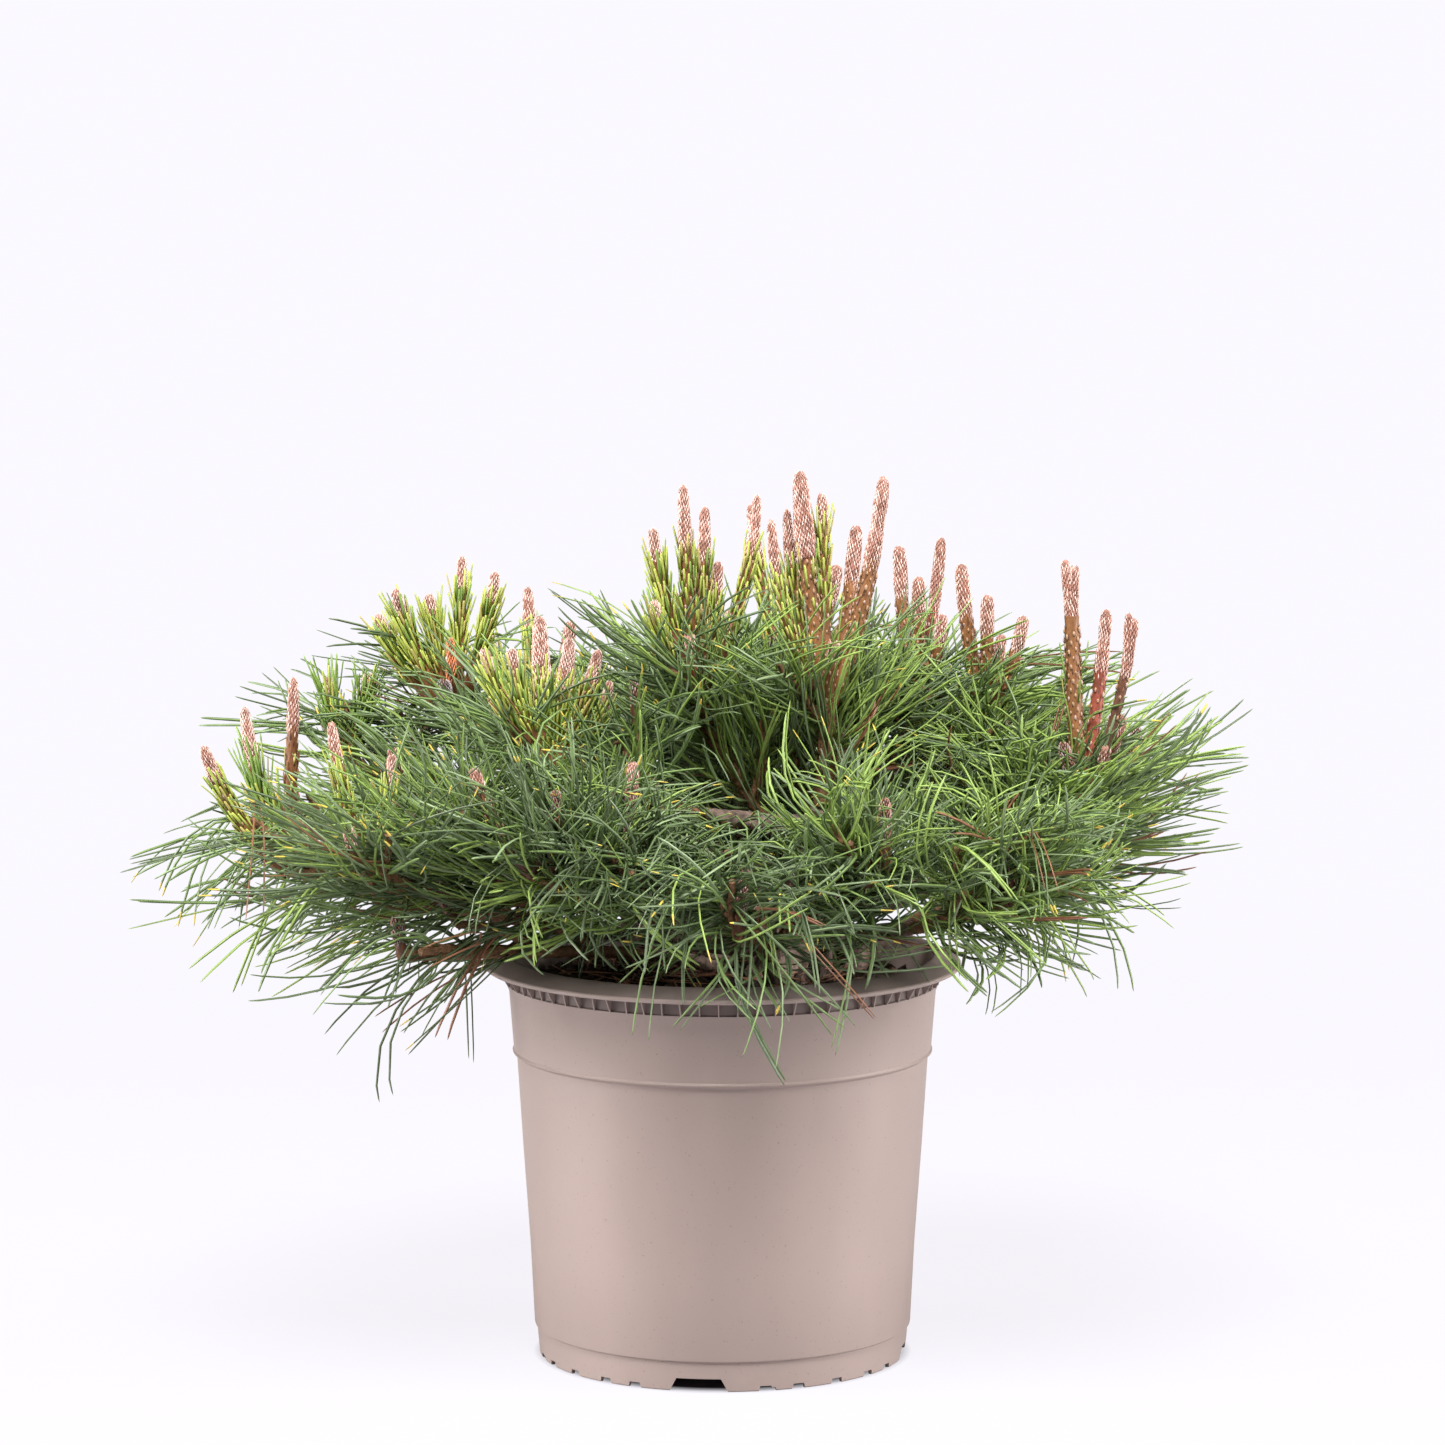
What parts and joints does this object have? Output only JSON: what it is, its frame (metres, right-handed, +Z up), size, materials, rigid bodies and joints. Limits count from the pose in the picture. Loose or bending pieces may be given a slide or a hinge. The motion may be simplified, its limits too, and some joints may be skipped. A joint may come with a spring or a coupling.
{
  "type": "potted mugo pine",
  "caption": "Low, spreading pine with upright woolly candles and long needles, rooted in a round taupe plastic nursery pot with a stepped rim and a notched foot.",
  "frame": {"origin": "middle of the flat pad under the pot, which the pot stands on", "axes": "+Z up along the pot's axis; +X along the plant's greatest width, to the right as the picture shows it; -Y towards the picture's camera"},
  "size_m": [0.5479, 0.4391, 0.4291],
  "materials": {
    "pot_plastic": "moulded taupe plastic, satin, with faint scuffs and dust",
    "soil": "dark, loose bark and peat",
    "bark": "rough, scaly grey-brown bark, redder on young stems",
    "foliage": "satin green needles on brown twigs, with orange-brown candles and pale pink woolly tips"
  },
  "bodies": {
    "root": {"bough_back_far_left": "bark", "bough_back_left": "bark", "bough_back_low": "bark", "bough_back_middle": "bark", "bough_back_right": "bark", "bough_back_right_low": "bark", "bough_centre_left": "bark", "bough_crown_back": "bark", "bough_crown_left": "bark", "bough_far_left": "bark", "bough_front_centre": "bark", "bough_front_inner": "bark", "bough_front_left": "bark", "bough_front_right": "bark", "bough_inner_back": "bark", "bough_left_back": "bark", "bough_left_front": "bark", "bough_left_low": "bark", "bough_right": "bark", "bough_right_front": "bark", "bough_right_low": "bark", "bough_upper_left": "bark", "bough_upper_right": "bark", "mass_back_far_left": "foliage", "mass_back_left": "foliage", "mass_back_low": "foliage", "mass_back_middle": "foliage", "mass_back_right": "foliage", "mass_back_right_low": "foliage", "mass_centre_left": "foliage", "mass_crown_back": "foliage", "mass_crown_left": "foliage", "mass_crown_top": "foliage", "mass_far_left": "foliage", "mass_front_centre": "foliage", "mass_front_inner": "foliage", "mass_front_left": "foliage", "mass_front_right": "foliage", "mass_inner_back": "foliage", "mass_left_back": "foliage", "mass_left_front": "foliage", "mass_left_low": "foliage", "mass_right": "foliage", "mass_right_front": "foliage", "mass_right_low": "foliage", "mass_upper_left": "foliage", "mass_upper_right": "foliage", "pot": "pot_plastic", "soil": "soil", "trunk": "bark"}
  },
  "joints": []
}
